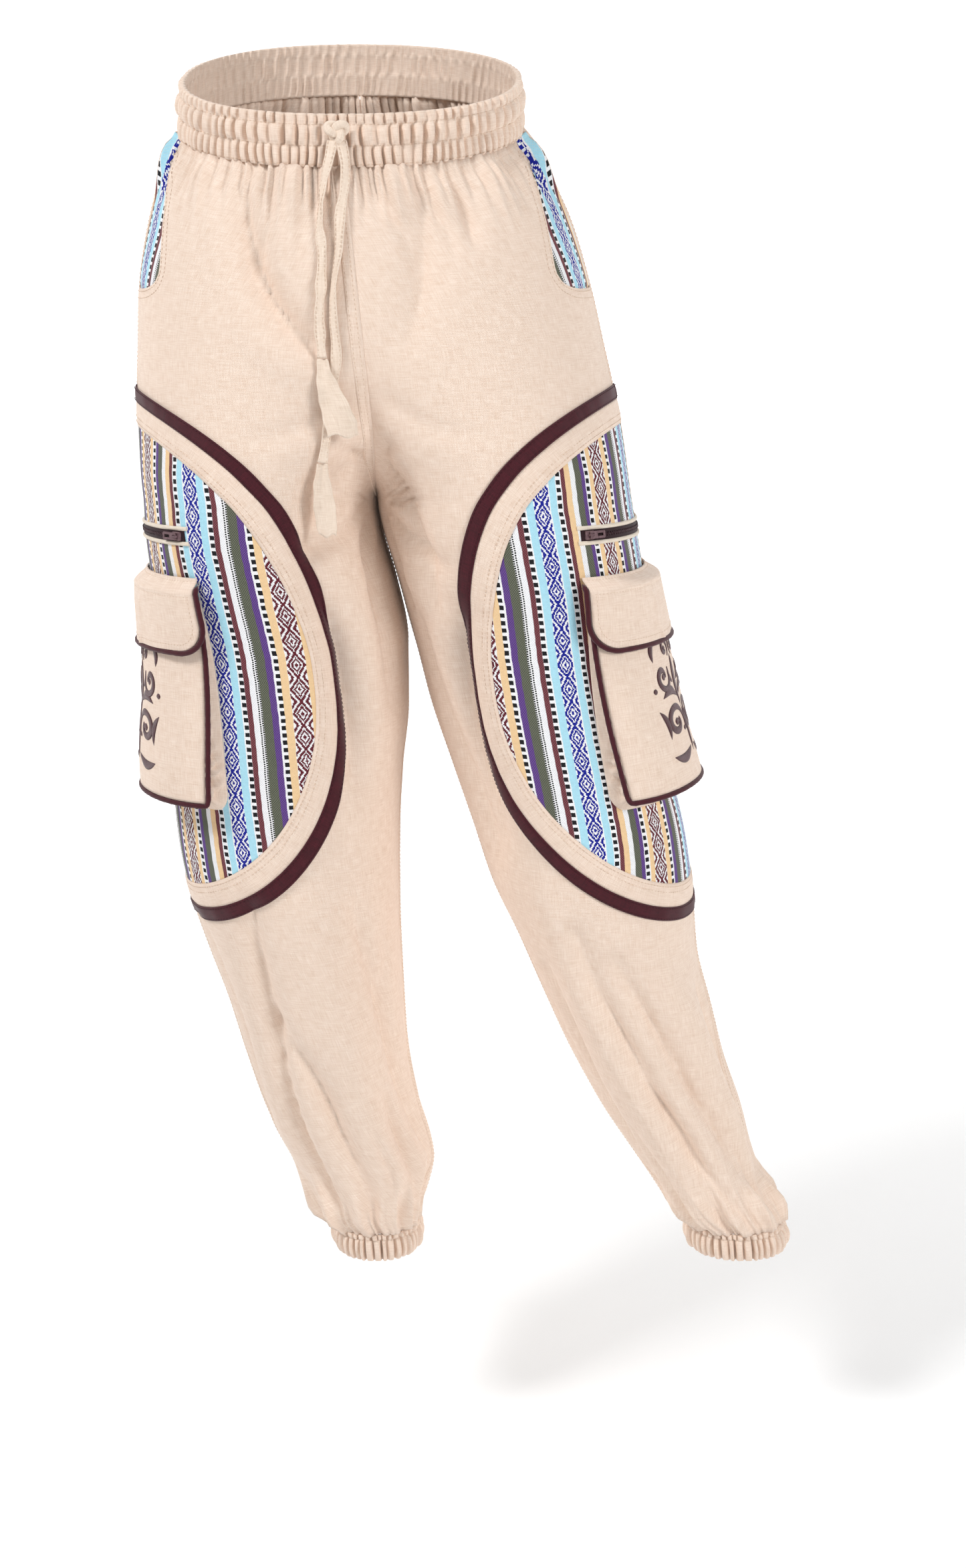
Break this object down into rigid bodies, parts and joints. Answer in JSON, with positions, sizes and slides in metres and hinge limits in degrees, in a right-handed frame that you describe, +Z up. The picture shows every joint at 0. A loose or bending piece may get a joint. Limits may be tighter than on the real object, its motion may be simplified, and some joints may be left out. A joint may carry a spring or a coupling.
{
  "type": "embroidered cargo trousers",
  "caption": "Baggy cotton trousers with an elastic drawstring waist, woven striped oval side panels, zip pockets, cargo pockets and gathered cuffs, in the shape of a standing wearer",
  "frame": {"origin": "the middle of the wearer's waist, level with the side of the waistband, where a body holds the trousers up", "axes": "+Z up, -Y to the wearer's front, -X to the wearer's right"},
  "size_m": [0.5417, 0.2801, 0.9896],
  "materials": {
    "beige_cotton": "plain slubby weave, matt",
    "striped_cotton": "heavy hand-woven stripes, matt",
    "maroon_cotton": "plain dense weave, matt",
    "zip_tape": "woven tape with moulded teeth",
    "off_white_cotton": "plain weave, matt",
    "cream_tape": "soft folded tape, matt",
    "slider_metal": "dark satin lacquer"
  },
  "bodies": {
    "garment": {"drawstring_knot": "cream_tape", "drawstring_long": "cream_tape", "drawstring_short": "cream_tape", "end_long": "cream_tape", "end_short": "cream_tape", "left_back": "beige_cotton", "left_band": "beige_cotton", "left_bellows": "beige_cotton", "left_cuff": "beige_cotton", "left_flap": "beige_cotton", "left_flap_piping": "maroon_cotton", "left_front": "beige_cotton", "left_hip_facing": "striped_cotton", "left_pocket": "beige_cotton", "left_pocket_piping": "maroon_cotton", "left_side_panel": "striped_cotton", "left_strip": "maroon_cotton", "left_welt_lower": "off_white_cotton", "left_welt_upper": "off_white_cotton", "left_zip": "zip_tape", "left_zip_slider": "slider_metal", "right_back": "beige_cotton", "right_band": "beige_cotton", "right_bellows": "beige_cotton", "right_cuff": "beige_cotton", "right_flap": "beige_cotton", "right_flap_piping": "maroon_cotton", "right_front": "beige_cotton", "right_hip_facing": "striped_cotton", "right_pocket": "beige_cotton", "right_pocket_piping": "maroon_cotton", "right_side_panel": "striped_cotton", "right_strip": "maroon_cotton", "right_welt_lower": "off_white_cotton", "right_welt_upper": "off_white_cotton", "right_zip": "zip_tape", "right_zip_slider": "slider_metal", "waistband": "beige_cotton"},
    "right_tab": {"right_pull_tab": "slider_metal"},
    "left_tab": {"left_pull_tab": "slider_metal"}
  },
  "joints": [
    {"name": "right_tab_turn", "type": "hinge", "parent": "garment", "child": "right_tab", "pos_m": [-0.12393, -0.11508, -0.30581], "axis": [-0.0284, -0.0292, 0.9992], "range_deg": [0, 150]},
    {"name": "left_tab_turn", "type": "hinge", "parent": "garment", "child": "left_tab", "pos_m": [0.18246, -0.1137, -0.30492], "axis": [0.0838, -0.0809, -0.9932], "range_deg": [0, 150]}
  ]
}
